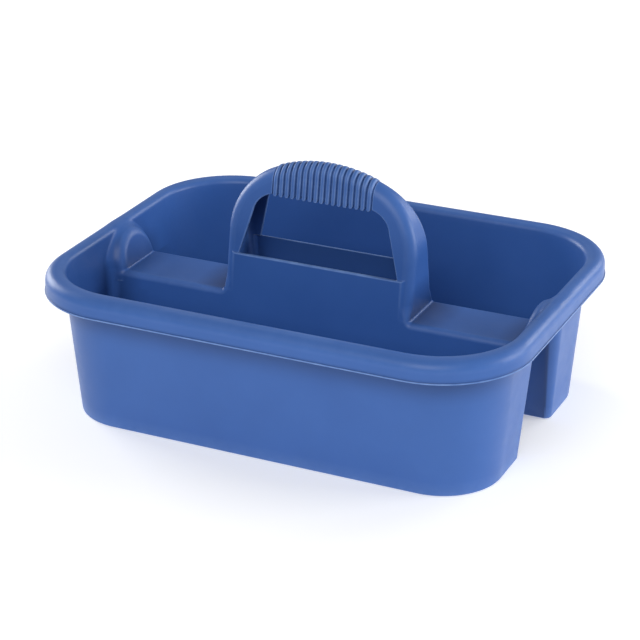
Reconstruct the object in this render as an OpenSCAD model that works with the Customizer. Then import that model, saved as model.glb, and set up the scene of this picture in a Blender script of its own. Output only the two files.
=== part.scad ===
// Cleaning caddy: a two-bin carrying tray with a rolled rim, a hollow divider
// between the bins and an arched, ribbed carrying handle on the divider.
// +X runs along the handle, -Y is the front, Z is up.
// The origin is on the floor, under the middle of the caddy.

/* [Overall] */
// Length over the lip of the rim
caddy_l = 466.7; // [440:0.1:500]
// Width over the lip of the rim
caddy_w = 352.4; // [330:0.1:380]
// Height of the top of the rim
rim_top_h = 140.3; // [130:0.1:155]
// Height of the top of the handle's plain surface
handle_h = 233; // [220:0.5:250]
// Thickness of every moulded wall
wall_t = 2.6; // [2:0.1:3.2]

/* [Bins] */
// Half length of the bins at the floor
bin_half_l = 206.9; // [200:0.1:210]
// Half width over both bins at the floor
bin_half_w = 143; // [138:0.1:148]
// Corner radius of the bins at the floor
bin_corner_r = 56.5; // [45:0.5:62]
// How far the end walls lean out for each unit of height
end_draft = 0.086; // [0.07:0.001:0.09]
// How far the front and rear walls lean out for each unit of height
side_draft = 0.116; // [0.1:0.001:0.12]
// How fast the corner radius grows for each unit of height
corner_growth = 0.127; // [0.1:0.001:0.14]
// Radius of the two corners beside the channel
inner_corner_r = 8; // [6:0.5:12]
// Thickness of the bin floors
floor_t = 2.8; // [2:0.1:4]

/* [Divider] */
// Height of the flat top of the divider
divider_h = 104; // [96:0.5:110]
// Half width of the divider at the floor, over its outer faces
divider_half_w = 42.9; // [40:0.1:46]
// How far the divider's faces lean in for each unit of height
divider_draft = 0.121; // [0.1:0.001:0.13]

/* [End arches] */
// Radius of the round top of each end arch
arch_r = 28; // [26:0.5:30]
// Height of the crown of each end arch
arch_crown_h = 136.5; // [132:0.5:138]
// Distance from the middle to the face of each end arch
arch_face_x = 199; // [195:0.5:202]

/* [Rim] */
// Height of the lower edge of the lip
lip_h = 121; // [118:0.1:124]
// Radius of the corners of the lip's outline
lip_corner_r = 85.2; // [80:0.1:90]
// Radius of the rolled top of the rim
roll_r = 9.6; // [8:0.1:11]
// How far the lip stands out from the skirt
lip_out = 0.8; // [0.4:0.1:1.2]

/* [Handle] */
// Half length of the handle at the hand hole's lower edge
handle_half_l = 93.5; // [90:0.5:98]
// Radius of the handle's shoulders
shoulder_r = 65; // [55:1:72]
// Radius of the handle's top arc
crown_r = 125; // [110:1:150]
// Half thickness of the handle at the hand hole's lower edge
handle_half_t = 23.8; // [22:0.1:24]
// How far the handle's faces lean in for each unit of height
handle_draft = 0.17; // [0.14:0.005:0.18]
// Rounding of the handle's outer edges
handle_edge_r = 10; // [8:0.5:10]

/* [Hand hole] */
// Height of the hand hole's lower edge
hole_bottom_h = 141.5; // [138:0.5:145]
// Height of the hand hole's upper edge
hole_top_h = 200; // [195:0.5:204]
// Half length of the hand hole at its lower edge
hole_half_l = 79; // [72:0.5:80]
// How far the hand hole's sides lean in for each unit of height
hole_lean = 0.28; // [0.2:0.01:0.3]
// Radius of the hand hole's upper corners
hole_corner_r = 15; // [10:0.5:18]

/* [Grip ribs] */
// Number of ribs across the grip
rib_count = 17; // [9:2:25]
// Distance from one rib to the next
rib_pitch = 5.8; // [5:0.1:6]
// Width of one rib
rib_w = 3.8; // [2.5:0.1:4]
// Height of the ribs above the handle's surface
rib_h = 1; // [0.6:0.1:1.4]

/* [Hidden] */
corner_steps = 10;                           // facets in a quarter turn of an outline
roll_step = 18;                              // degrees between two outlines of the roll
far = 300;                                   // larger than anything it cuts
plastic = [0.25, 0.38, 0.66];
divider_under_h = divider_h - wall_t;
roll_centre_h = rim_top_h - roll_r;
skirt_inset = lip_out;
arch_centre_h = arch_crown_h - arch_r;
arch_outer_x = bin_half_l + end_draft * roll_centre_h - wall_t;
rib_span = (rib_count - 1) * rib_pitch;
rib_side_share = 0.2;                        // part of a rib's width that each side leans over
shoulder_steps = 12;
edge_steps = 6;                              // facets in the rounding of the handle's edge

// The shoulder's circle touches the leg's side and the crown's arc.
crown_centre_z = handle_h - crown_r;
shoulder_x = handle_half_l - shoulder_r;
shoulder_z = crown_centre_z + sqrt(pow(crown_r - shoulder_r, 2) - pow(shoulder_x, 2));
join_angle = atan2(shoulder_z - crown_centre_z, shoulder_x);

// The hand hole's corner circle touches its leaning side and its top edge.
lean_angle = atan(hole_lean);
corner_z = hole_top_h - hole_corner_r;
corner_x = hole_half_l - hole_lean * (corner_z - hole_bottom_h) - hole_corner_r / cos(lean_angle);
tangent_z = corner_z + hole_corner_r * sin(lean_angle);
grip_end_x = rib_span / 2 + rib_pitch / 2;
grip_angle = acos((grip_end_x - corner_x) / hole_corner_r);
side_share = 0.4;                            // part of the shoulder beside the hole's side

// ---- sizes that change with height

function wall_a(z) = bin_half_l + end_draft * z;
function wall_b(z) = bin_half_w + side_draft * z;
function wall_r(z) = bin_corner_r + corner_growth * z;
function divider_y(z) = divider_half_w - divider_draft * z;
function handle_y(z) = handle_half_t - handle_draft * (z - hole_bottom_h);

// ---- outlines, as closed lists of points at one height

function arc(cx, cy, r, from, to, n = corner_steps) =
    [for (k = [0 : n]) let (t = from + (to - from) * k / n) [cx + r * cos(t), cy + r * sin(t)]];

function rounded_outline(a, b, r) = concat(
    arc(a - r, b - r, r, 0, 90), arc(r - a, b - r, r, 90, 180),
    arc(r - a, r - b, r, 180, 270), arc(a - r, r - b, r, 270, 360));

// One bin behind the divider: y runs from inner to b, with two radii.
function bin_outline(a, inner, b, r, r_in) = concat(
    arc(a - r_in, inner + r_in, r_in, 270, 360, 5), arc(a - r, b - r, r, 0, 90),
    arc(r - a, b - r, r, 90, 180), arc(r_in - a, inner + r_in, r_in, 180, 270, 5));

function at_height(outline, z) = [for (p = outline) [p[0], p[1], z]];

// The bin's surface at one height, moved into the wall by inset.
function bin_ring(z, inset) = at_height(bin_outline(
    wall_a(z) - inset, divider_y(z) - wall_t + inset, wall_b(z) - inset,
    wall_r(z) - inset, inner_corner_r - inset), z);

function wall_ring(z, inset) =
    at_height(rounded_outline(wall_a(z) - inset, wall_b(z) - inset, wall_r(z) - inset), z);

function lip_ring(z, inset) = at_height(rounded_outline(
    caddy_l / 2 - inset, caddy_w / 2 - inset, lip_corner_r - inset), z);

// A ring between the wall (0) and the skirt (1), for the rim's rolled top.
function mix(p, q, t) = [for (i = [0 : len(p) - 1]) p[i] + (q[i] - p[i]) * t];
function roll_ring(angle, r) =
    let (t = (1 - cos(angle) * r / roll_r) / 2)
    [for (p = mix(wall_ring(roll_centre_h, wall_t), lip_ring(roll_centre_h, skirt_inset), t))
        [p[0], p[1], roll_centre_h + r * sin(angle)]];

// ---- solids from outlines

// A closed ring of wall whose cross-section is the loop of outlines.
module ring_solid(rings) {
    n = len(rings[0]);
    m = len(rings);
    polyhedron(
        points = [for (ring = rings) each ring],
        faces = [for (i = [0 : m - 1]) for (k = [0 : n - 1])
            let (a = i * n + k, b = i * n + (k + 1) % n,
                 c = ((i + 1) % m) * n + (k + 1) % n, d = ((i + 1) % m) * n + k)
            each [[a, c, b], [a, d, c]]]);
}

module in_front() {
    mirror([0, 1, 0]) children();
}

module on_left() {
    mirror([1, 0, 0]) children();
}

// ---- bins

module bin_floor() {
    linear_extrude(floor_t)
        polygon([for (p = bin_ring(0, 0)) [p[0], p[1]]]);
}

module bin_walls() {
    ring_solid([bin_ring(floor_t, 0), bin_ring(divider_under_h, 0),
                bin_ring(divider_under_h, wall_t), bin_ring(floor_t, wall_t)]);
}

// The walls above the divider, up to the rim's roll, open at the end arches.
module upper_wall() {
    difference() {
        ring_solid([wall_ring(divider_under_h, 0), wall_ring(roll_centre_h, 0),
                    wall_ring(roll_centre_h, wall_t), wall_ring(divider_under_h, wall_t)]);
        translate([-far, -2 * far, 0]) cube(2 * far);
        arch_bar(-far, far, 0);
    }
}

module front_bin_floor() {
    color(plastic) in_front() bin_floor();
}

module rear_bin_floor() {
    color(plastic) bin_floor();
}

module front_bin_walls() {
    color(plastic) in_front() bin_walls();
}

module rear_bin_walls() {
    color(plastic) bin_walls();
}

module front_upper_wall() {
    color(plastic) in_front() upper_wall();
}

module rear_upper_wall() {
    color(plastic) upper_wall();
}

// ---- end arches

// The arch's outline, inset by one wall when it is the hollow.
module arch_outline(inset) {
    base = divider_y(divider_under_h) - inset;
    translate([0, arch_centre_h]) circle(arch_r - inset, $fn = 64);
    polygon([[-base, divider_under_h], [base, divider_under_h],
             [arch_r - inset, arch_centre_h], [inset - arch_r, arch_centre_h]]);
}

// A bar of the arch's outline from x = from to x = to. The outline's
// circle reaches below the arch's foot, so it is cut there.
module arch_bar(from, to, inset) {
    translate([from, 0, 0]) rotate([90, 0, 90]) linear_extrude(to - from) intersection() {
        arch_outline(inset);
        translate([-far, divider_under_h]) square([2 * far, far]);
    }
}

module end_arch() {
    difference() {
        arch_bar(arch_face_x, arch_outer_x, 0);
        arch_bar(arch_face_x + wall_t, far, wall_t);
    }
}

module left_end_arch() {
    color(plastic) on_left() end_arch();
}

module right_end_arch() {
    color(plastic) end_arch();
}

// ---- rim

module rim_roll() {
    inner_r = roll_r - wall_t;
    color(plastic) difference() {
        ring_solid(concat(
            [for (angle = [0 : roll_step : 180]) roll_ring(angle, roll_r)],
            [for (angle = [180 : -roll_step : 0]) roll_ring(angle, inner_r)]));
        arch_bar(-arch_outer_x, arch_outer_x, 0);
    }
}

module rim_skirt() {
    color(plastic) ring_solid([
        lip_ring(lip_h, skirt_inset), lip_ring(roll_centre_h, skirt_inset),
        lip_ring(roll_centre_h, skirt_inset + wall_t), lip_ring(lip_h, skirt_inset + wall_t)]);
}

module rim_lip() {
    lip_mid_h = lip_h + lip_out;
    color(plastic) ring_solid([
        lip_ring(lip_h, skirt_inset), lip_ring(lip_h, lip_out / 2), lip_ring(lip_mid_h, 0),
        lip_ring(lip_mid_h + lip_out, skirt_inset)]);
}

// ---- divider

// The flat top from the hand hole's end to an end arch, open under the leg.
module divider_top() {
    y_low = divider_y(divider_under_h);
    y_high = divider_y(divider_h);
    hollow_y = handle_y(divider_h) - wall_t;
    difference() {
        translate([hole_half_l, 0, 0]) rotate([90, 0, 90])
            linear_extrude(arch_face_x - hole_half_l)
            polygon([[-y_low, divider_under_h], [y_low, divider_under_h],
                     [y_high, divider_h], [-y_high, divider_h]]);
        translate([0, -hollow_y, 0])
            cube([handle_half_l - wall_t, 2 * hollow_y, far]);
    }
}

module divider_left() {
    color(plastic) on_left() divider_top();
}

module divider_right() {
    color(plastic) divider_top();
}

// ---- handle

// The handle is a run of stations. Each holds a point of the outer outline,
// [x, z], and the point of the hand hole's outline that faces it.

// Stations up the right leg, to where the shoulder's arc starts.
leg_stations = [for (z = [divider_h, hole_bottom_h, shoulder_z])
    [[handle_half_l, z], [hole_side_x(z), z]]];

// Stations round the right shoulder, to the end of the grip.
shoulder_stations = [for (k = [0 : shoulder_steps])
    let (t = k / shoulder_steps, angle = t * join_angle)
    [[shoulder_x + shoulder_r * cos(angle), shoulder_z + shoulder_r * sin(angle)],
     shoulder_hole_point(t)]];

function hole_side_x(z) = hole_half_l - hole_lean * max(0, z - hole_bottom_h);

// The hole's outline beside the shoulder: up the leaning side, then round the corner.
function shoulder_hole_point(t) = t < side_share
    ? let (z = shoulder_z + (tangent_z - shoulder_z) * t / side_share) [hole_side_x(z), z]
    : let (angle = lean_angle + (grip_angle - lean_angle) * (t - side_share) / (1 - side_share))
      [corner_x + hole_corner_r * cos(angle), corner_z + hole_corner_r * sin(angle)];

function crown_z(x) = crown_centre_z + sqrt(crown_r * crown_r - x * x);
function hole_z(x) = corner_z + sqrt(pow(hole_corner_r, 2) - pow(max(0, abs(x) - corner_x), 2));
function grip_station(x) = [[x, crown_z(x)], [x, hole_z(x)]];

// The half section at one station, over the front, from the hole to the middle
// of the outer face. Inset moves it into the wall, or out of it when negative.
function half_section(station, inset) =
    let (out = station[0], in = station[1], along = (out - in) / norm(out - in),
         r = handle_edge_r, centre = out - r * along, half = handle_y(centre[1]) - r)
    concat([[in[0], handle_y(in[1]) - inset, in[1]]],
        [for (p = arc(0, 0, r - inset, 0, 90, edge_steps))
            [centre[0] + p[1] * along[0], half + p[0], centre[1] + p[1] * along[1]]]);

function to_rear(half) = [for (p = half) [p[0], -p[1], p[2]]];
function reversed(list) = [for (i = [len(list) - 1 : -1 : 0]) list[i]];

// The whole section, from the front wall's edge over to the rear wall's edge.
function section(station, inset) =
    let (half = half_section(station, inset)) concat(to_rear(half), reversed(half));

function shell_loop(station) = concat(section(station, 0), reversed(section(station, wall_t)));

// A run of loops, closed at both ends. Each loop is the outline of a band,
// so the end caps are strips between its two halves.
module band_solid(loops) {
    n = len(loops[0]);
    m = len(loops);
    last = (m - 1) * n;
    polyhedron(
        points = [for (loop = loops) each loop],
        faces = concat(
            [for (i = [0 : m - 2]) for (k = [0 : n - 1])
                let (a = i * n + k, b = i * n + (k + 1) % n, c = b + n, d = a + n)
                each [[a, b, c], [a, c, d]]],
            [for (k = [0 : n / 2 - 2])
                let (a = k, b = k + 1, c = n - 2 - k, d = n - 1 - k)
                each [[a, d, c], [a, c, b]]],
            [for (k = [0 : n / 2 - 2])
                let (a = last + k, b = last + k + 1, c = last + n - 2 - k, d = last + n - 1 - k)
                each [[a, c, d], [a, b, c]]]));
}

module handle_leg() {
    band_solid([for (station = leg_stations) shell_loop(station)]);
}

function mirrored(station) = [[-station[0][0], station[0][1]], [-station[1][0], station[1][1]]];

// The places across the grip where a rib starts or ends.
rib_edges = [for (k = [0 : rib_count - 1]) let (middle = k * rib_pitch - rib_span / 2)
    each [middle - rib_w / 2, middle + rib_w / 2]];

module handle_crown() {
    right = shoulder_stations;
    color(plastic) band_solid([for (station = concat(
        right, [for (x = reversed(rib_edges)) grip_station(x)],
        [for (station = reversed(right)) mirrored(station)])) shell_loop(station)]);
}

// One rib: a low band with leaning sides that lies on the crown.
module rib(left, right) {
    lean = (right - left) * rib_side_share;
    strips = [section(grip_station(left), 0), section(grip_station(left + lean), -rib_h),
              section(grip_station(right - lean), -rib_h), section(grip_station(right), 0)];
    band_solid([for (i = [0 : len(strips[0]) - 1]) [for (strip = strips) strip[i]]]);
}

module grip_ribs() {
    color(plastic) for (k = [0 : rib_count - 1]) rib(rib_edges[2 * k], rib_edges[2 * k + 1]);
}

// The panel under the hand hole. It stands proud of the legs, so its ends
// lie over their faces.
module panel() {
    end = handle_half_l - handle_edge_r;
    y_low = divider_y(divider_under_h);
    y_foot = divider_y(divider_h);
    y_high = divider_y(hole_bottom_h);
    upright(hole_half_l) polygon([[y_low - wall_t, divider_under_h], [y_low, divider_under_h],
        [y_high, hole_bottom_h], [y_high - wall_t, hole_bottom_h]]);
    upright(end) polygon([[handle_y(divider_h), divider_h], [y_foot, divider_h],
        [y_high, hole_bottom_h], [handle_y(hole_bottom_h), hole_bottom_h]]);
}

// Extrudes an outline in Y and Z over the given half length along X.
module upright(half_l) {
    translate([-half_l, 0, 0]) rotate([90, 0, 90]) linear_extrude(2 * half_l) children();
}

module handle_front_panel() {
    color(plastic) in_front() panel();
}

module handle_rear_panel() {
    color(plastic) panel();
}

module handle_left_leg() {
    color(plastic) on_left() handle_leg();
}

module handle_right_leg() {
    color(plastic) handle_leg();
}

front_bin_floor();
rear_bin_floor();
front_bin_walls();
rear_bin_walls();
front_upper_wall();
rear_upper_wall();
rim_roll();
rim_skirt();
rim_lip();
left_end_arch();
right_end_arch();
divider_left();
divider_right();
handle_front_panel();
handle_rear_panel();
handle_left_leg();
handle_right_leg();
handle_crown();
grip_ribs();
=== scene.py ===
"""Cleaning caddy: the looks of one blue polypropylene moulding, built round the CAD frame.

The moulding is one signed field, moulding(), in millimetres: negative in the plastic, positive
outside it. Every piece's mesh lies on that field's surface and takes its normals from it, so
the pieces meet without a seam. The small, blended shapes round the divider and the handle come
from a grid of the field, and the long walls and the rim are swept loops.
"""
import math

import bmesh
import bpy
import numpy as np
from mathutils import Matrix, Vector


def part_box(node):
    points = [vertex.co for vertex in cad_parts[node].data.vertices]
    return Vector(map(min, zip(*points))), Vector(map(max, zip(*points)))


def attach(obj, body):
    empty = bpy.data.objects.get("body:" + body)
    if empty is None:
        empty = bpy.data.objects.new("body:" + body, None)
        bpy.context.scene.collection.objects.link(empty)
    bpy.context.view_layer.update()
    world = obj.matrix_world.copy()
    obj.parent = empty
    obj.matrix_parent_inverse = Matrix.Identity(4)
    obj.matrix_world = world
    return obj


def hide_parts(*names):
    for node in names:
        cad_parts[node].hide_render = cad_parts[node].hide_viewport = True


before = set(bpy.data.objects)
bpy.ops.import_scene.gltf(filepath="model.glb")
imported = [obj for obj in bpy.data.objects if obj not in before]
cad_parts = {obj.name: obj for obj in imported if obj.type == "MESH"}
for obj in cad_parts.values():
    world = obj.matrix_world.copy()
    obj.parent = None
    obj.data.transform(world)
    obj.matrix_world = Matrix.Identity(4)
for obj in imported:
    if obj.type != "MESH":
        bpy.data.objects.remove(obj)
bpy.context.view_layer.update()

MM = 1000.0


def low(node, axis):
    """The lowest coordinate of a CAD node along an axis, in millimetres."""
    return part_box(node)[0][axis] * MM


def high(node, axis):
    """The highest coordinate of a CAD node along an axis, in millimetres."""
    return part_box(node)[1][axis] * MM


# ---------------------------------------------------------------- sizes, from the frame

X, Y, Z = 0, 1, 2
WALL = 2.6
BOTTOM_EDGE_R = 1.5
FLOOR_FILLET_R = 4.0

HALF_L = high("rim_lip", X)
HALF_W = high("rim_lip", Y)
LIP_R = 85.2
LIP_OUT = HALF_L - high("rim_skirt", X)
LIP_H = low("rim_lip", Z)
LIP_EDGE_R = 0.5
RIM_TOP = high("rim_roll", Z)
RIM_HALF = 8.5
ROLL_IN_R = 5.0
ROLL_OUT_R = 9.0

FLOOR_T = high("front_bin_floor", Z)
WALL_TOP = high("front_upper_wall", Z)
BIN_A = high("front_bin_floor", X)
BIN_B = high("rear_bin_floor", Y)
BIN_R = 56.5
BIN_R_GROWTH = 0.127
END_DRAFT = (high("rear_upper_wall", X) - BIN_A) / WALL_TOP
SIDE_DRAFT = (high("rear_upper_wall", Y) - BIN_B) / WALL_TOP
RIM_W = HALF_W - LIP_OUT - (BIN_B + SIDE_DRAFT * WALL_TOP - WALL)

DIVIDER_H = high("divider_left", Z)
DIVIDER_Y = 42.9
DIVIDER_DRAFT = 0.121
DIVIDER_EDGE_R = 5.0

# The fillet in the bins' corners by the divider grows with height, and is plain above the divider.
CORNER_R = 4.0
CORNER_R_GROWTH = 0.07
CORNER_R_ABOVE = 6.0
CORNER_FADE_LOW = DIVIDER_H + 8
CORNER_FADE_HIGH = DIVIDER_H + 28

# The arches' round faces lean, so their feet start a little inside the CAD's upright faces.
ARCH_FOOT_X = low("right_end_arch", X) - 1.5
ARCH_FOOT_Z = DIVIDER_H - 9
ARCH_LEAN = 0.25
ARCH_CROWN = high("right_end_arch", Z) - 0.4
ARCH_R = (DIVIDER_Y - DIVIDER_DRAFT * ARCH_CROWN) / (1 - DIVIDER_DRAFT)
ARCH_EDGE_R = 8.0
ARCH_JOIN_R = 1.5

HANDLE_X = high("handle_right_leg", X)
HANDLE_H = high("handle_crown", Z)
SHOULDER_R = 65.0
CROWN_R = 125.0
HANDLE_Y = 23.8
HANDLE_DRAFT = 0.17
HANDLE_EDGE_R = 10.0
HANDLE_FOOT_R = 2.5
HANDLE_FACE_START = DIVIDER_H + 4
HANDLE_EDGE_START = DIVIDER_H + 16
CROWN_Z = HANDLE_H - CROWN_R
SHOULDER_X = HANDLE_X - SHOULDER_R
SHOULDER_Z = CROWN_Z + math.sqrt((CROWN_R - SHOULDER_R) ** 2 - SHOULDER_X**2)
JOIN_ANGLE = math.atan2(SHOULDER_Z - CROWN_Z, SHOULDER_X)

HOLE_LOW = high("handle_front_panel", Z)
HOLE_TOP = 200.0
HOLE_X = 79.0
HOLE_LEAN = 0.28
HOLE_R = 15.0
HOLE_EDGE_R = 1.0
PANEL_X = 85.0
PANEL_END_HALF = 2.0
PANEL_TOP_HALF = 0.8

RIB_PITCH = 5.8
RIB_COUNT = 17
RIB_H = high("grip_ribs", Z) - HANDLE_H
RIB_SHAPE = 2.2
RIB_END_HALF = 0.6
RIB_FOOT_LOW = HOLE_LOW + 30
RIB_FOOT_HIGH = HOLE_LOW + 35
RIB_OVERHANG = 1.4
GROOVE_H = -1.0

# Where the pieces part. They are places where the surface is plain. A piece with nothing over
# it has its upper limit in the open, OPEN_GAP over its top.
BIN_CUT_Z = 90.0
BAND_Y = 50.0
CREST_X = (BIN_A + END_DRAFT * WALL_TOP - WALL + HALF_L - LIP_OUT) / 2
END_CUT_X = 190.0
LEG_CUT_X = 101.0
PANEL_CUT_X = 70.0
CROWN_CUT_Z = high("handle_right_leg", Z)
OPEN_GAP = 5.0


# ---------------------------------------------------------------- the field

def wall_a(z):
    """Half length of the bowl's inner surface."""
    return BIN_A + END_DRAFT * z - WALL


def wall_b(z):
    """Half width of the bowl's inner surface."""
    return BIN_B + SIDE_DRAFT * z - WALL


def wall_r(z):
    """Corner radius of the bowl's inner surface."""
    return BIN_R + BIN_R_GROWTH * z - WALL


def divider_y(z):
    """Half width of the divider's outer faces."""
    return DIVIDER_Y - DIVIDER_DRAFT * z


def smooth(low_edge, high_edge, v):
    """0 below the low edge, 1 above the high one, and a smooth rise between."""
    t = np.clip((v - low_edge) / (high_edge - low_edge), 0, 1)
    return t * t * (3 - 2 * t)


def corner_fillet(z):
    """Radius of the corner that the divider and the end arches make with the end walls."""
    above = smooth(CORNER_FADE_LOW, CORNER_FADE_HIGH, z)
    below_r = CORNER_R + CORNER_R_GROWTH * np.clip(z, 0, DIVIDER_H)
    return below_r * (1 - above) + CORNER_R_ABOVE * above


def rounded_rect(x, y, a, b, r):
    """Distance to a rounded rectangle, negative inside."""
    qx = np.abs(x) - (a - r)
    qy = np.abs(y) - (b - r)
    inside = np.minimum(np.maximum(qx, qy), 0)
    return inside + np.hypot(np.maximum(qx, 0), np.maximum(qy, 0)) - r


def cut(a, b, r):
    """What two shapes share, with a rounded edge."""
    return np.minimum(np.maximum(a, b), -r) + np.hypot(np.maximum(a + r, 0), np.maximum(b + r, 0))


def join(a, b, r):
    """Two shapes together, with a fillet between them."""
    return -cut(-a, -b, r)


def handle_outline(x, z):
    """Distance to the handle's outline in side view: two legs, two shoulders and a crown."""
    ax = np.abs(x)
    angle = np.arctan2(z - SHOULDER_Z, ax - SHOULDER_X)
    arc = np.where(
        angle < JOIN_ANGLE,
        np.hypot(ax - SHOULDER_X, z - SHOULDER_Z) - SHOULDER_R,
        np.hypot(ax, z - CROWN_Z) - CROWN_R,
    )
    return np.where(z < SHOULDER_Z, ax - HANDLE_X, arc)


def hole_outline(x, z):
    """Distance to the hand hole's outline in side view."""
    lean = math.hypot(1, HOLE_LEAN)
    side = (np.abs(x) - HOLE_X + HOLE_LEAN * (z - HOLE_LOW)) / lean
    upper = cut(side, z - HOLE_TOP, HOLE_R)
    return np.maximum(upper, HOLE_LOW - z)


def ribs(x, z):
    """Height of the grip ribs: broad round ribs with narrow grooves between them."""
    half = RIB_PITCH / 2
    off = np.abs(np.mod(x + half * (RIB_COUNT % 2), RIB_PITCH) - half) / half
    span = RIB_COUNT * half
    on_grip = smooth(span + RIB_END_HALF, span - RIB_END_HALF, np.abs(x))
    on_grip = on_grip * smooth(RIB_FOOT_LOW, RIB_FOOT_HIGH, z)
    return (RIB_H - (RIB_H - GROOVE_H) * np.sin(np.pi / 2 * off**RIB_SHAPE) ** 2) * on_grip


def middle(x, y, z, with_ribs):
    """The divider with the handle on it, as a body with no hollow."""
    outline = join(z - DIVIDER_H, handle_outline(x, z), HANDLE_FOOT_R)
    on_leg = smooth(PANEL_X - PANEL_END_HALF, PANEL_X + PANEL_END_HALF, np.abs(x))
    over_hole = smooth(HOLE_LOW - PANEL_TOP_HALF, HOLE_LOW + PANEL_TOP_HALF, z)
    step = np.maximum(on_leg, over_hole) * smooth(DIVIDER_H, HANDLE_FACE_START, z)
    handle_face = HANDLE_Y - HANDLE_DRAFT * (z - HOLE_LOW)
    face = np.abs(y) - (divider_y(z) * (1 - step) + handle_face * step)
    up_leg = smooth(DIVIDER_H, HANDLE_EDGE_START, z)
    edge_r = DIVIDER_EDGE_R + (HANDLE_EDGE_R - DIVIDER_EDGE_R) * up_leg
    body = cut(outline, face, edge_r)
    return body - ribs(x, z) if with_ribs else body


def end_arch(x, y, z):
    """The half barrels on the divider's ends."""
    centre = ARCH_CROWN - ARCH_R
    barrel = np.where(z > centre, np.hypot(y, z - centre) - ARCH_R, np.abs(y) - divider_y(z))
    face = ARCH_FOOT_X + ARCH_LEAN * (z - DIVIDER_H) - np.abs(x)
    return np.maximum(cut(barrel, face, ARCH_EDGE_R), ARCH_FOOT_Z - z)


def upper_side(x, y, z, with_ribs=True):
    """Everything under the surface seen from above, as if it were solid, but without a floor."""
    bowl = rounded_rect(x, y, wall_a(z), wall_b(z), wall_r(z))
    skirt = rounded_rect(x, y, HALF_L - LIP_OUT, HALF_W - LIP_OUT, LIP_R - LIP_OUT)
    ring = np.maximum(cut(-bowl, z - RIM_TOP, ROLL_IN_R), cut(skirt, z - RIM_TOP, ROLL_OUT_R))
    inner = join(middle(x, y, z, with_ribs), end_arch(x, y, z), ARCH_JOIN_R)
    inner = np.maximum(inner, bowl - RIM_HALF)
    return join(ring, inner, corner_fillet(z)), bowl, skirt


def moulding(p):
    """The signed field at points p, an array of rows of x, y and z."""
    x, y, z = p[..., 0], p[..., 1], p[..., 2]
    top, bowl, skirt = upper_side(x, y, z)
    plain = upper_side(x, y, z, with_ribs=False)[0]
    # The air below is the upper side moved down by the wall, so the moulding is a shell.
    hollow = join(plain + WALL, z, BOTTOM_EDGE_R)
    shell = np.maximum(join(top, z - FLOOR_T, FLOOR_FILLET_R), -hollow)
    shell = cut(shell, -hole_outline(x, z) - RIB_OVERHANG * ribs(x, z), HOLE_EDGE_R)
    # Past the walls the shell is the rim's skirt, which ends level with the lip's underside.
    past_wall = bowl > RIM_HALF
    shell = np.where(past_wall, cut(shell, LIP_H - z, LIP_EDGE_R), shell)
    lip = rounded_rect(x, y, HALF_L, HALF_W, LIP_R)
    band = np.abs(z - LIP_H - LIP_OUT) - LIP_OUT
    bead = cut(np.maximum(lip, -skirt - WALL), band, LIP_EDGE_R)
    return np.minimum(shell, bead)


def slope(p, h=0.01):
    """The field's gradient at points p."""
    g = np.empty_like(p)
    for axis in range(3):
        d = np.zeros(3)
        d[axis] = h
        g[:, axis] = (moulding(p + d) - moulding(p - d)) / (2 * h)
    return g


def settle(p, free=1.0, rounds=4, reach=0.6):
    """Moves points onto the field's surface, along the axes that are free."""
    p = p.copy()
    for _ in range(rounds):
        g = slope(p) * free
        step = moulding(p)[:, None] * g / np.maximum((g * g).sum(1), 1e-3)[:, None]
        size = np.linalg.norm(step, axis=1)[:, None]
        p -= step * np.minimum(1, reach / np.maximum(size, 1e-9))
    return p


# ---------------------------------------------------------------- meshes on the field

def ticks(start, end, step):
    """Even grid lines from start to end, a little past both."""
    count = 2 * math.ceil((end - start) / step / 2) + 5
    middle_line = (start + end) / 2
    return middle_line + (np.arange(count + 1) - count / 2) * step


def corners_of(cells, corner):
    """The grid indices of one corner of each cell."""
    return tuple((cells + corner).T)


def net(lines):
    """A quad mesh of the field's surface on a grid: its points, and its faces by index.

    The grid's outermost layer counts as air, so that the mesh is closed there.
    """
    shape = [len(axis_lines) for axis_lines in lines]
    value = np.empty(shape)
    across = np.stack(np.meshgrid(lines[Y], lines[Z], indexing="ij"), -1)
    for i, x in enumerate(lines[X]):
        layer = np.empty((shape[Y], shape[Z], 3))
        layer[..., X] = x
        layer[..., Y:] = across
        value[i] = moulding(layer)
    for axis in range(3):
        np.moveaxis(value, axis, 0)[[0, -1]] = 1.0
    solid = value < 0
    total = np.zeros([n - 1 for n in shape], np.int8)
    for i, j, k in np.ndindex(2, 2, 2):
        total += solid[i:shape[X] - 1 + i, j:shape[Y] - 1 + j, k:shape[Z] - 1 + k]
    cells = np.argwhere((total > 0) & (total < 8))
    index = np.full(total.shape, -1)
    index[tuple(cells.T)] = np.arange(len(cells))

    sums = np.zeros((len(cells), 3))
    counts = np.zeros(len(cells))
    faces = []
    for axis in range(3):
        along = np.eye(3, dtype=int)[axis]
        u = np.eye(3, dtype=int)[(axis + 1) % 3]
        v = np.eye(3, dtype=int)[(axis + 2) % 3]
        for start in (0 * u, u, v, u + v):
            first = value[corners_of(cells, start)]
            last = value[corners_of(cells, start + along)]
            crossed = (first < 0) != (last < 0)
            share = np.where(crossed, first / np.where(crossed, first - last, 1), 0)
            point = np.stack([lines[n][cells[:, n] + start[n]] for n in range(3)], -1)
            step = lines[axis][cells[:, axis] + 1] - lines[axis][cells[:, axis]]
            point[:, axis] += share * step
            sums += point * crossed[:, None]
            counts += crossed
        before = np.take(solid, range(shape[axis] - 1), axis)
        after = np.take(solid, range(1, shape[axis]), axis)
        edges = np.argwhere(before != after)
        quads = np.stack([index[tuple((edges - move).T)] for move in (u + v, v, 0 * u, u)], -1)
        leaving = before[tuple(edges.T)]
        quads[~leaving] = quads[~leaving][:, ::-1]
        faces.append(quads)
    return sums / counts[:, None], np.concatenate(faces)


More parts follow.
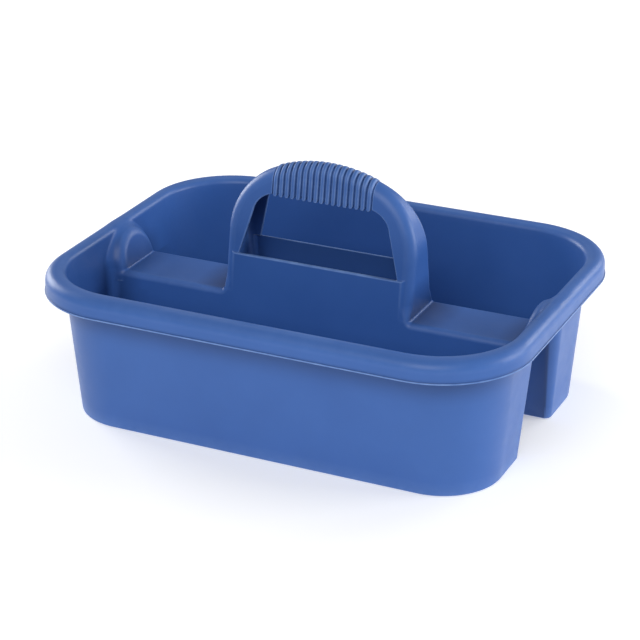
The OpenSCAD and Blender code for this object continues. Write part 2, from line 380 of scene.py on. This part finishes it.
def carve(low_corner, high_corner, step):
    """The part of the moulding inside a box, as a closed mesh."""
    points, quads = net([ticks(low_corner[n], high_corner[n], step[n]) for n in range(3)])
    mesh = bpy.data.meshes.new("net")
    mesh.from_pydata(settle(points), [], quads.tolist())
    bm = bmesh.new()
    bm.from_mesh(mesh)
    bpy.data.meshes.remove(mesh)
    for face in bm.faces:
        face.smooth = True
    for axis in range(3):
        for side, limit in ((-1, low_corner[axis]), (1, high_corner[axis])):
            normal = side * np.eye(3)[axis]
            geometry = bm.verts[:] + bm.edges[:] + bm.faces[:]
            found = bmesh.ops.bisect_plane(
                bm, geom=geometry, dist=1e-4, plane_co=limit * np.eye(3)[axis],
                plane_no=normal, clear_outer=True,
            )
            cut_verts = [v for v in found["geom_cut"] if isinstance(v, bmesh.types.BMVert)]
            bmesh.ops.remove_doubles(bm, verts=cut_verts, dist=0.01)
            seam = [e for e in bm.edges if e.is_boundary]
            if seam:
                bmesh.ops.triangle_fill(bm, edges=seam, normal=normal)
    bmesh.ops.recalc_face_normals(bm, faces=bm.faces)
    return bm


def mirrored(bm, axis):
    """A mirrored copy of a mesh."""
    copy = bm.copy()
    for vert in copy.verts:
        vert.co[axis] = -vert.co[axis]
    bmesh.ops.reverse_faces(copy, faces=copy.faces)
    return copy


# ---------------------------------------------------------------- swept loops on the field

ARC_STEPS = 20
SIDE_STEPS = 24
END_STEPS = 8
WALL_ROWS = 8
SKIRT_ROWS = 5
EDGE_ROWS = 5
FILLET_ROWS = 7
INNER_ROLL_ROWS = 7
OUTER_ROLL_ROWS = 9
SIDEWAYS = np.array([1, 1, 0])


def rear_half(a, b, r):
    """The rear of a rounded rectangle's outline, from the right end round to the left end."""
    t = np.radians(np.linspace(0, 90, ARC_STEPS + 1))
    corner = np.stack([a - r + r * np.cos(t), b - r + r * np.sin(t)], -1)
    start = [[a, BAND_Y], [a, (BAND_Y + b - r) / 2]]
    right = np.concatenate([start, corner])
    x = np.linspace(a - r, r - a, SIDE_STEPS + 1)[1:-1]
    side = np.stack([x, np.full(len(x), b)], -1)
    return np.concatenate([right, side, right[::-1] * (-1, 1)])


def whole(a, b, r):
    """The whole outline of a rounded rectangle."""
    rear = rear_half(a, b, r)
    y = np.linspace(BAND_Y, -BAND_Y, END_STEPS + 1)[1:-1]
    left = np.stack([np.full(len(y), -a), y], -1)
    return np.concatenate([rear, left, -rear, -left])


def bin_outline(z, outset):
    """The rear bin's surface at one height, moved out of the bin by outset."""
    a, b, r = wall_a(z) + outset, wall_b(z) + outset, wall_r(z) + outset
    near, near_r = divider_y(z) - outset, corner_fillet(z) + outset
    t = np.radians(np.linspace(-90, 0, ARC_STEPS // 2 + 1))
    by_divider = np.stack([a - near_r + near_r * np.cos(t), near + near_r + near_r * np.sin(t)], -1)
    t = np.radians(np.linspace(0, 90, ARC_STEPS + 1))
    corner = np.stack([a - r + r * np.cos(t), b - r + r * np.sin(t)], -1)
    right = np.concatenate([by_divider, corner])
    x = np.linspace(a - r, r - a, SIDE_STEPS + 1)[1:-1]
    far_side = np.stack([x, np.full(len(x), b)], -1)
    x = np.linspace(near_r - a, a - near_r, SIDE_STEPS + 1)[1:-1]
    near_side = np.stack([x, np.full(len(x), near)], -1)
    return np.concatenate([right, far_side, right[::-1] * (-1, 1), near_side])


def at_height(outline, z):
    """An outline's points at height z."""
    return np.column_stack([outline, np.full(len(outline), z)])


def add_faces(bm, rows, wraps, plain_rows=()):
    """Quads between neighbouring rows of vertices, and from the last row back to the first.

    A row of None leaves a gap. The quads after a plain row are flat seams between two pieces.
    """
    for i, row in enumerate(rows):
        following = rows[(i + 1) % len(rows)]
        if following is None or row is None:
            continue
        for k in range(len(row) if wraps else len(row) - 1):
            after = (k + 1) % len(row)
            face = bm.faces.new((row[k], row[after], following[after], following[k]))
            face.smooth = i not in plain_rows


def rows_of(bm, loops):
    """New vertices for each loop of points."""
    return [[bm.verts.new(p) for p in loop] for loop in loops]


def rear_bin():
    """The rear bin up to where the upper pieces start: two walls of loops, and two floors."""
    edge_r, fillet_r = BOTTOM_EDGE_R, FLOOR_FILLET_R
    t = np.radians(np.linspace(0, 90, EDGE_ROWS))
    outer = [(WALL, z) for z in np.linspace(BIN_CUT_Z, edge_r, WALL_ROWS)]
    outer += [(WALL - edge_r * (1 - math.cos(a)), edge_r * (1 - math.sin(a))) for a in t[1:]]
    t = np.radians(np.linspace(90, 0, FILLET_ROWS))
    inner = [(fillet_r * (math.cos(a) - 1), FLOOR_T + fillet_r * (1 - math.sin(a))) for a in t]
    inner += [(0, z) for z in np.linspace(FLOOR_T + fillet_r, BIN_CUT_Z, WALL_ROWS)[1:]]

    def loop(outset, z):
        points = at_height(bin_outline(z, outset), z)
        on_wall = outset == WALL or z > FLOOR_T + fillet_r / 2
        return settle(points, free=SIDEWAYS) if on_wall else points

    bm = bmesh.new()
    outside, inside = (rows_of(bm, [loop(*at) for at in profile]) for profile in (outer, inner))
    for rows in (outside, inside):
        add_faces(bm, rows + [None], wraps=True)
    for flat_row in (outside[-1], inside[0]):
        bm.faces.new(flat_row).smooth = False
    add_faces(bm, [inside[-1], outside[0], None], wraps=True, plain_rows=(0,))
    bmesh.ops.recalc_face_normals(bm, faces=bm.faces)
    return bm


def rim_loop(out, z, outline):
    """A loop over the rim, at a distance out from the bowl's side and at height z."""
    bowl = outline(wall_a(WALL_TOP), wall_b(WALL_TOP), wall_r(WALL_TOP))
    skirt = outline(HALF_L - LIP_OUT, HALF_W - LIP_OUT, LIP_R - LIP_OUT)
    return at_height(bowl + (skirt - bowl) * out / RIM_W, z)


def inner_roll(inset):
    """Loops from the bowl's side over the rim's inner edge to the crest."""
    r = ROLL_IN_R - inset
    centre_z = RIM_TOP - ROLL_IN_R
    arc = [(ROLL_IN_R - r * math.cos(t), centre_z + r * math.sin(t))
           for t in np.radians(np.linspace(0, 90, INNER_ROLL_ROWS))]
    crest = (RIM_W / 2, RIM_TOP - inset)
    return [rim_loop(out, z, rear_half) for out, z in (*arc, crest)]


def outer_roll(inset):
    """Loops from the crest over the rim's outer edge to the skirt."""
    r = ROLL_OUT_R - inset
    centre_out, centre_z = RIM_W - ROLL_OUT_R, RIM_TOP - ROLL_OUT_R
    arc = [(centre_out + r * math.cos(t), centre_z + r * math.sin(t))
           for t in np.radians(np.linspace(90, 0, OUTER_ROLL_ROWS))]
    crest = (RIM_W / 2, RIM_TOP - inset)
    return [rim_loop(out, z, whole) for out, z in (crest, *arc)]


def rear_wall():
    """The rear wall from the bin up to the rim's crest, with the inner half of the roll."""
    def wall(z, outset):
        return at_height(rear_half(wall_a(z) + outset, wall_b(z) + outset, wall_r(z) + outset), z)

    heights = np.linspace(BIN_CUT_Z, WALL_TOP, WALL_ROWS)
    loops = [wall(z, 0) for z in heights] + inner_roll(0)
    loops += inner_roll(WALL)[::-1] + [wall(z, WALL) for z in heights[::-1]]
    count = len(loops)
    return swept(loops, wraps=False, plain_rows=(count // 2 - 1, count - 1))


def rim():
    """The rim's outer half: the roll from its crest, the skirt and the lip, all the way round."""
    def skirt(z, outset):
        out = outset - LIP_OUT
        return at_height(whole(HALF_L + out, HALF_W + out, LIP_R + out), z)

    lip_top = LIP_H + 2 * LIP_OUT
    down = np.linspace(RIM_TOP - ROLL_OUT_R, lip_top + LIP_EDGE_R, SKIRT_ROWS)[1:]
    loops = outer_roll(0) + [skirt(z, 0) for z in down]
    # The bead's upper half, and its mirror image below.
    bead = [(0.0, lip_top), (0.3, lip_top), (0.65, lip_top - 0.15), (0.8, lip_top - LIP_EDGE_R)]
    loops += [skirt(z, out) for out, z in bead]
    loops += [skirt(LIP_H + lip_top - z, out) for out, z in bead[:0:-1]]
    # The flat underside, and the skirt's inner face back up to the roll.
    loops += [skirt(LIP_H, -1.3), skirt(LIP_H, LIP_EDGE_R - WALL), skirt(LIP_H + 0.15, 0.15 - WALL)]
    loops += [skirt(z, -WALL) for z in (LIP_H + LIP_EDGE_R, *down[::-1])]
    loops += outer_roll(WALL)[::-1]
    return swept(loops, wraps=True, plain_rows=(len(loops) - 1,))


def swept(loops, wraps, plain_rows):
    """A closed mesh whose cross-section is the run of loops, settled on the field."""
    bm = bmesh.new()
    settled = [settle(loop, free=SIDEWAYS if loop[0][Z] <= WALL_TOP else 1.0) for loop in loops]
    rows = rows_of(bm, settled)
    add_faces(bm, rows, wraps, plain_rows)
    if not wraps:
        for end in (0, -1):
            cap = bm.faces.new([row[end] for row in rows])
            cap.smooth = False
            bmesh.ops.triangulate(bm, faces=[cap])
    bmesh.ops.recalc_face_normals(bm, faces=bm.faces)
    return bm


# ---------------------------------------------------------------- the blue plastic

BLUE_DEEP = (0.038, 0.119, 0.39, 1)
BLUE_LIGHT = (0.045, 0.135, 0.43, 1)
# A pale blue for edges, partly wear and partly a painted highlight.
BLUE_WORN_AND_LIT = (0.20, 0.34, 0.68, 1)
# A deep blue for painted shade in recesses.
BLUE_PAINTED_SHADE = (0.010, 0.028, 0.10, 1)
WORN_AND_LIT_LOW = 0.3
WORN_AND_LIT_HIGH = 0.9
ROUGH_LOW = 0.33
ROUGH_HIGH = 0.43
SPECULAR = 0.35
PLASTIC_IOR = 1.49


def node_of(tree, kind, **values):
    """A new shader node with some of its inputs or properties set."""
    node = tree.nodes.new(kind)
    for name, value in values.items():
        if name in node.inputs:
            node.inputs[name].default_value = value
        else:
            setattr(node, name, value)
    return node


def blue_plastic():
    """Satin polypropylene: a faint mottle, a fine grain, paler edges that are partly wear and
    partly a painted highlight, and painted shade in recesses.
    """
    material = bpy.data.materials.new("blue_polypropylene")
    material.use_nodes = True
    tree = material.node_tree
    shader = tree.nodes["Principled BSDF"]
    shader.inputs["Specular IOR Level"].default_value = SPECULAR
    shader.inputs["IOR"].default_value = PLASTIC_IOR
    place = node_of(tree, "ShaderNodeTexCoord").outputs["Object"]

    def noise(scale, detail):
        """Noise of about scale waves to the metre."""
        node = node_of(tree, "ShaderNodeTexNoise", Scale=scale, Detail=detail, Roughness=0.55)
        tree.links.new(place, node.inputs["Vector"])
        return node.outputs["Fac"]

    def spread(value, low_value, high_value, width=0.25):
        """The middle range of a noise, stretched from a low value to a high one."""
        node = node_of(tree, "ShaderNodeMapRange")
        node.inputs["From Min"].default_value = 0.5 - width
        node.inputs["From Max"].default_value = 0.5 + width
        node.inputs["To Min"].default_value = low_value
        node.inputs["To Max"].default_value = high_value
        tree.links.new(value, node.inputs["Value"])
        return node.outputs["Result"]

    def blend(factor, first, second):
        """A mix of two colours, each a plain colour or a node's output."""
        node = node_of(tree, "ShaderNodeMix", data_type="RGBA")
        tree.links.new(factor, node.inputs["Factor"])
        for socket, value in (("A", first), ("B", second)):
            target = [i for i in node.inputs if i.name == socket and i.type == "RGBA"][0]
            if isinstance(value, tuple):
                target.default_value = value
            else:
                tree.links.new(value, target)
        return [o for o in node.outputs if o.type == "RGBA"][0]

    # Colour: a mottle as wide as a finger, paler edges that are partly wear and partly a painted
    # highlight, and painted shade in recesses.
    flow = blend(spread(noise(scale=14, detail=3), 0, 1), BLUE_DEEP, BLUE_LIGHT)
    edge = node_of(tree, "ShaderNodeAttribute", attribute_name="edge").outputs["Fac"]
    # Paler edges, in patches: partly wear and partly a painted highlight, strongest on edges of
    # small radius such as the lip's bead.
    rubbed_and_lit = node_of(tree, "ShaderNodeMath", operation="MULTIPLY")
    tree.links.new(edge, rubbed_and_lit.inputs[0])
    patches = spread(noise(scale=90, detail=4), WORN_AND_LIT_LOW, WORN_AND_LIT_HIGH)
    tree.links.new(patches, rubbed_and_lit.inputs[1])
    worn_and_lit = blend(rubbed_and_lit.outputs[0], flow, BLUE_WORN_AND_LIT)
    # Painted shade: the colour darkens towards a deep blue where another wall is close in front of
    # the surface.
    enclosed_shade = node_of(tree, "ShaderNodeAttribute", attribute_name="enclosed_shade").outputs["Fac"]
    tree.links.new(blend(enclosed_shade, worn_and_lit, BLUE_PAINTED_SHADE), shader.inputs["Base Color"])
    sheen = spread(noise(scale=60, detail=5), ROUGH_LOW, ROUGH_HIGH)
    tree.links.new(sheen, shader.inputs["Roughness"])

    # Relief: the mould's fine grain, on the shallow waves of plastic that shrank as it cooled.
    grain = node_of(tree, "ShaderNodeBump", Strength=0.10, Distance=0.0003)
    tree.links.new(noise(scale=1400, detail=3), grain.inputs["Height"])
    sink = node_of(tree, "ShaderNodeBump", Strength=0.12, Distance=0.0015)
    tree.links.new(noise(scale=22, detail=2), sink.inputs["Height"])
    tree.links.new(grain.outputs["Normal"], sink.inputs["Normal"])
    tree.links.new(sink.outputs["Normal"], shader.inputs["Normal"])
    return material


# ---------------------------------------------------------------- making a piece

# Paler edges, partly wear and partly a painted highlight: how far the curvature is sampled, and how
# strongly it pales the edge.
WEAR_AND_HIGHLIGHT_REACH = 0.7
WEAR_AND_HIGHLIGHT_GAIN = 0.9
# Painted shade in recesses: how far in front of the surface to look for another wall, and how dark
# it gets.
SHADE_REACHES = (2.0, 34.0)
SHADE_GAIN = 0.8


def edge_wear_and_highlight(points):
    """How exposed each point is, for paler edges that are partly wear and partly a painted
    highlight: 0 on plain and hollow places, 1 on an edge of small radius.
    """
    around = np.zeros(len(points))
    for axis in range(3):
        d = np.zeros(3)
        d[axis] = WEAR_AND_HIGHLIGHT_REACH
        around += moulding(points + d) + moulding(points - d)
    curvature = (around - 6 * moulding(points)) / WEAR_AND_HIGHLIGHT_REACH**2
    return np.clip(curvature * WEAR_AND_HIGHLIGHT_GAIN, 0, 1)


def painted_enclosed_shade(points, normals):
    """How enclosed each point is, for painted shade: 0 in the open, 1 where another wall is close
    in front of it.
    """
    shares = [1 - moulding(points + reach * normals) / reach for reach in SHADE_REACHES]
    return np.clip(np.maximum(*shares), 0, 1) * SHADE_GAIN


def set_attribute(mesh, name, values):
    """Stores one number for each vertex."""
    attribute = mesh.attributes.new(name, "FLOAT", "POINT")
    attribute.data.foreach_set("value", values.astype(np.float32))


def add_piece(name, bm, *nodes):
    """Makes a piece of the moulding from a mesh in millimetres."""
    mesh = bpy.data.meshes.new(name)
    bm.to_mesh(mesh)
    bm.free()
    points = np.empty(len(mesh.vertices) * 3)
    mesh.vertices.foreach_get("co", points)
    points = points.reshape(-1, 3)
    normals = slope(points)
    normals /= np.maximum(np.linalg.norm(normals, axis=1)[:, None], 1e-9)
    # Paler edges, partly wear and partly a painted highlight.
    set_attribute(mesh, "edge", edge_wear_and_highlight(points))
    # Painted shade in recesses, stored for the material.
    set_attribute(mesh, "enclosed_shade", painted_enclosed_shade(points, normals))

    corner_vertex = np.empty(len(mesh.loops), int)
    mesh.loops.foreach_get("vertex_index", corner_vertex)
    corner_normal = normals[corner_vertex]
    for face in mesh.polygons:
        if not face.use_smooth:
            corner_normal[face.loop_start:face.loop_start + face.loop_total] = face.normal
    mesh.vertices.foreach_set("co", (points / MM).ravel())
    mesh.update()
    mesh.normals_split_custom_set(corner_normal.tolist())
    mesh.materials.append(plastic)
    piece = bpy.data.objects.new(name, mesh)
    bpy.context.scene.collection.objects.link(piece)
    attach(piece, "root")
    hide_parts(*nodes)


# ---------------------------------------------------------------- camera, light and floor

CAMERA_LENS = 120.76
CAMERA_PLACE = (0.76447, -1.65737, 0.88796)
CAMERA_AZIMUTH = 24.98
CAMERA_ELEVATION = 23.92
CAMERA_REACH = 20.0

LIGHT_AIM = (0, 0, 0.08)
SOFT_BOXES = (
    ("front_box", (0.3, -2.0, 1.7), 1.6, 28),
    ("right_box", (1.7, 0.6, 0.6), 0.9, 16),
    ("left_box", (-1.7, 0.5, 0.6), 0.9, 18),
    ("back_box", (1.2, 2.0, 0.9), 1.0, 14),
)
WHITE = (1, 1, 1, 1)
ROOM_STRENGTH = 0.34

FLOOR_HALF = 1.5
FLOOR_Z = -0.0002
FLOOR_COLOUR = (0.9, 0.9, 0.9, 1)
FLOOR_GLOW = 0.36


def add_camera():
    """The camera, at the place and angle that the caddy is looked at from."""
    camera = bpy.data.objects.new("camera", bpy.data.cameras.new("camera"))
    bpy.context.scene.collection.objects.link(camera)
    bpy.context.scene.camera = camera
    camera.data.lens = CAMERA_LENS
    camera.data.sensor_width = 36.0
    camera.data.clip_end = CAMERA_REACH
    camera.location = CAMERA_PLACE
    tilt = math.radians(90 - CAMERA_ELEVATION)
    camera.rotation_euler = (tilt, 0, math.radians(CAMERA_AZIMUTH))


def add_soft_box(name, place, size, watts):
    """A square light aimed at the caddy."""
    light = bpy.data.lights.new(name, "AREA")
    light.size = size
    light.energy = watts
    lamp = bpy.data.objects.new(name, light)
    bpy.context.scene.collection.objects.link(lamp)
    lamp.location = place
    direction = Vector(LIGHT_AIM) - lamp.location
    lamp.rotation_euler = direction.to_track_quat("-Z", "Y").to_euler()


def light_world():
    """A dim even room, which the camera sees as a white backdrop."""
    world = bpy.data.worlds.new("studio")
    world.use_nodes = True
    tree = world.node_tree
    room = tree.nodes["Background"]
    room.inputs["Color"].default_value = WHITE
    room.inputs["Strength"].default_value = ROOM_STRENGTH
    backdrop = node_of(tree, "ShaderNodeBackground", Color=WHITE, Strength=1.0)
    seen = node_of(tree, "ShaderNodeLightPath").outputs["Is Camera Ray"]
    mix = node_of(tree, "ShaderNodeMixShader")
    tree.links.new(seen, mix.inputs["Fac"])
    tree.links.new(room.outputs[0], mix.inputs[1])
    tree.links.new(backdrop.outputs[0], mix.inputs[2])
    tree.links.new(mix.outputs[0], tree.nodes["World Output"].inputs["Surface"])
    bpy.context.scene.world = world


def pale_floor():
    """A matt surface that glows a little, so that it stays as pale as the backdrop."""
    material = bpy.data.materials.new("pale_floor")
    material.use_nodes = True
    shader = material.node_tree.nodes["Principled BSDF"]
    shader.inputs["Base Color"].default_value = FLOOR_COLOUR
    shader.inputs["Roughness"].default_value = 0.9
    shader.inputs["Specular IOR Level"].default_value = 0.1
    shader.inputs["Emission Color"].default_value = FLOOR_COLOUR
    shader.inputs["Emission Strength"].default_value = FLOOR_GLOW
    return material


def add_floor():
    """A plain square floor just under the caddy."""
    mesh = bpy.data.meshes.new("floor")
    signs = ((-1, -1), (1, -1), (1, 1), (-1, 1))
    corners = [(x * FLOOR_HALF, y * FLOOR_HALF, FLOOR_Z) for x, y in signs]
    mesh.from_pydata(corners, [], [(0, 1, 2, 3)])
    mesh.materials.append(pale_floor())
    floor = bpy.data.objects.new("floor", mesh)
    bpy.context.scene.collection.objects.link(floor)


add_camera()
bpy.context.scene.view_settings.view_transform = "Standard"
bpy.context.scene.view_settings.look = "None"
for box in SOFT_BOXES:
    add_soft_box(*box)
light_world()
add_floor()


# ---------------------------------------------------------------- the moulding's pieces

plastic = blue_plastic()

bin_mesh = rear_bin()
add_piece("front_bin", mirrored(bin_mesh, Y), "front_bin_floor", "front_bin_walls")
add_piece("rear_bin", bin_mesh, "rear_bin_floor", "rear_bin_walls")

wall_mesh = rear_wall()
add_piece("front_wall", mirrored(wall_mesh, Y), "front_upper_wall")
add_piece("rear_wall", wall_mesh, "rear_upper_wall")

add_piece("rim", rim(), "rim_roll", "rim_skirt", "rim_lip")

arch_mesh = carve(
    (END_CUT_X, -BAND_Y, BIN_CUT_Z), (CREST_X, BAND_Y, RIM_TOP + OPEN_GAP), step=(1.2, 1.2, 1))
add_piece("left_arch", mirrored(arch_mesh, X), "left_end_arch")
add_piece("right_arch", arch_mesh, "right_end_arch")

divider_mesh = carve(
    (LEG_CUT_X, -BAND_Y, BIN_CUT_Z), (END_CUT_X, BAND_Y, DIVIDER_H + OPEN_GAP), step=(2.5, 1, 1))
add_piece("left_divider", mirrored(divider_mesh, X), "divider_left")
add_piece("right_divider", divider_mesh, "divider_right")

leg_mesh = carve(
    (PANEL_CUT_X, -BAND_Y, BIN_CUT_Z), (LEG_CUT_X, BAND_Y, CROWN_CUT_Z), step=(0.8, 0.8, 0.8))
add_piece("left_handle_leg", mirrored(leg_mesh, X), "handle_left_leg")
add_piece("right_handle_leg", leg_mesh, "handle_right_leg")

panel_mesh = carve(
    (-PANEL_CUT_X, 0, BIN_CUT_Z), (PANEL_CUT_X, BAND_Y, CROWN_CUT_Z), step=(2.5, 0.8, 0.8))
add_piece("front_handle_panel", mirrored(panel_mesh, Y), "handle_front_panel")
add_piece("rear_handle_panel", panel_mesh, "handle_rear_panel")

crown_mesh = carve(
    (-LEG_CUT_X, -BAND_Y, CROWN_CUT_Z), (LEG_CUT_X, BAND_Y, HANDLE_H + OPEN_GAP),
    step=(RIB_PITCH / 8, 0.8, 0.8))
add_piece("ribbed_crown", crown_mesh, "handle_crown", "grip_ribs")
